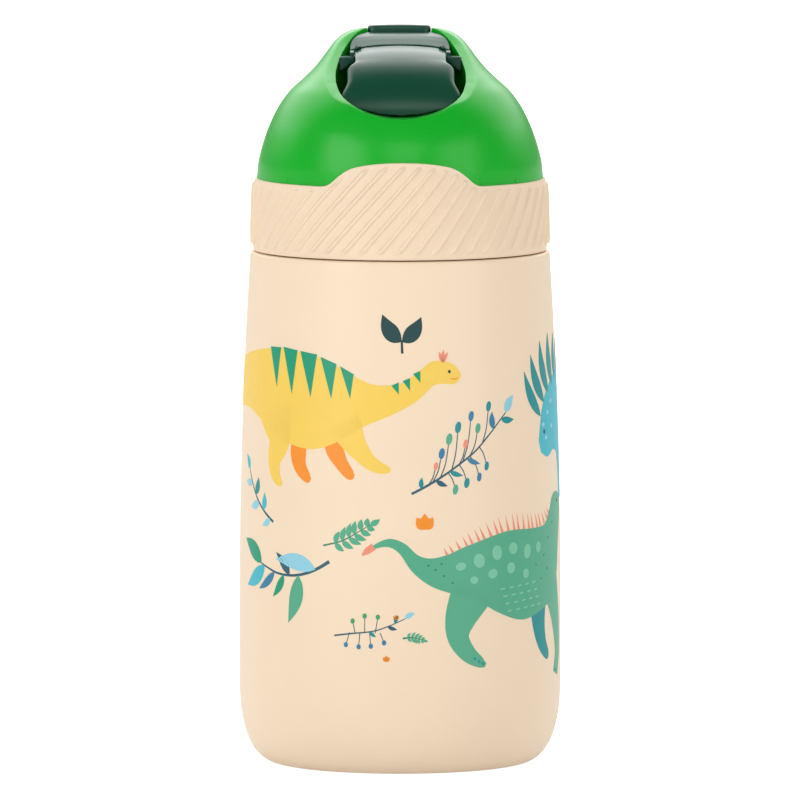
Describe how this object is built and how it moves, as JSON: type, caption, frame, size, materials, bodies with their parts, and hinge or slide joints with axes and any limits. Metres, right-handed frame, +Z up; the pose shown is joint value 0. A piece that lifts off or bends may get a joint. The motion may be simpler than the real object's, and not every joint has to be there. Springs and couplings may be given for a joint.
{
  "type": "insulated drinking flask",
  "caption": "Child's insulated steel bottle with a screw-on domed lid, ribbed collar, flip cover over a soft mouthpiece, release button, straw and printed dinosaur pattern.",
  "frame": {"origin": "centre of the flat ring under the base", "axes": "+Z up along the flask's axis, the drinking side faces -Y"},
  "size_m": [0.073, 0.073, 0.1669],
  "materials": {
    "cream_coating": "satin powder coat with a printed pattern",
    "bare_steel": "drawn and brushed",
    "cream_plastic": "fine grain with slanted ribs",
    "green_plastic": "semi gloss",
    "dark_green_plastic": "fine satin",
    "white_plastic": "moulded",
    "white_silicone": "soft translucent",
    "clear_plastic": "milky tube",
    "spring_steel": "drawn wire"
  },
  "bodies": {
    "flask": {"outer_shell": "cream_coating", "base_disc": "bare_steel", "inner_flask": "bare_steel", "getter": "bare_steel"},
    "gasket": {"neck_gasket": "white_silicone"},
    "straw": {"straw": "clear_plastic"},
    "lid": {"collar": "cream_plastic", "lid_shell": "green_plastic", "inner_cap": "white_plastic", "spout_cradle": "dark_green_plastic", "cradle_screws": "spring_steel", "hinge_pin": "spring_steel", "cover_springs": "spring_steel", "button_spring": "spring_steel", "vent_valve": "white_silicone", "mouthpiece_seat": "white_silicone", "riser_seal": "white_silicone"},
    "cover": {"flip_cover": "dark_green_plastic"},
    "mouthpiece": {"mouthpiece": "white_silicone"},
    "button": {"release_button": "dark_green_plastic", "button_latch": "spring_steel"}
  },
  "joints": [
    {"name": "lid_pull", "type": "slide", "parent": "flask", "child": "gasket", "axis": [0, 0, 1], "range_m": [0, 0.13]},
    {"name": "lid_lift", "type": "slide", "parent": "gasket", "child": "straw", "axis": [0, 0, 1], "range_m": [0, 0.005]},
    {"name": "lid_turn", "type": "hinge", "parent": "straw", "child": "lid", "pos_m": [0, 0, 0.12], "axis": [0, 0, 1], "range_deg": [0, 450]},
    {"name": "cover_flip", "type": "hinge", "parent": "lid", "child": "cover", "pos_m": [0, -0.0016, 0.1605], "axis": [-1, 0, 0], "range_deg": [0, 100]},
    {"name": "mouthpiece_rise", "type": "hinge", "parent": "lid", "child": "mouthpiece", "pos_m": [0, -0.0016, 0.1532], "axis": [-1, 0, 0], "range_deg": [0, 56]},
    {"name": "button_press", "type": "slide", "parent": "lid", "child": "button", "axis": [0, 0, -1], "range_m": [0, 0.0015], "stiffness_N_per_m": 400, "deforming": ["button_spring"]}
  ],
  "couplings": [
    {"joint": "lid_lift", "follows": "lid_turn", "m_per_rad": 0.00063662},
    {"joint": "mouthpiece_rise", "follows": "cover_flip", "ratio": 0.56}
  ]
}
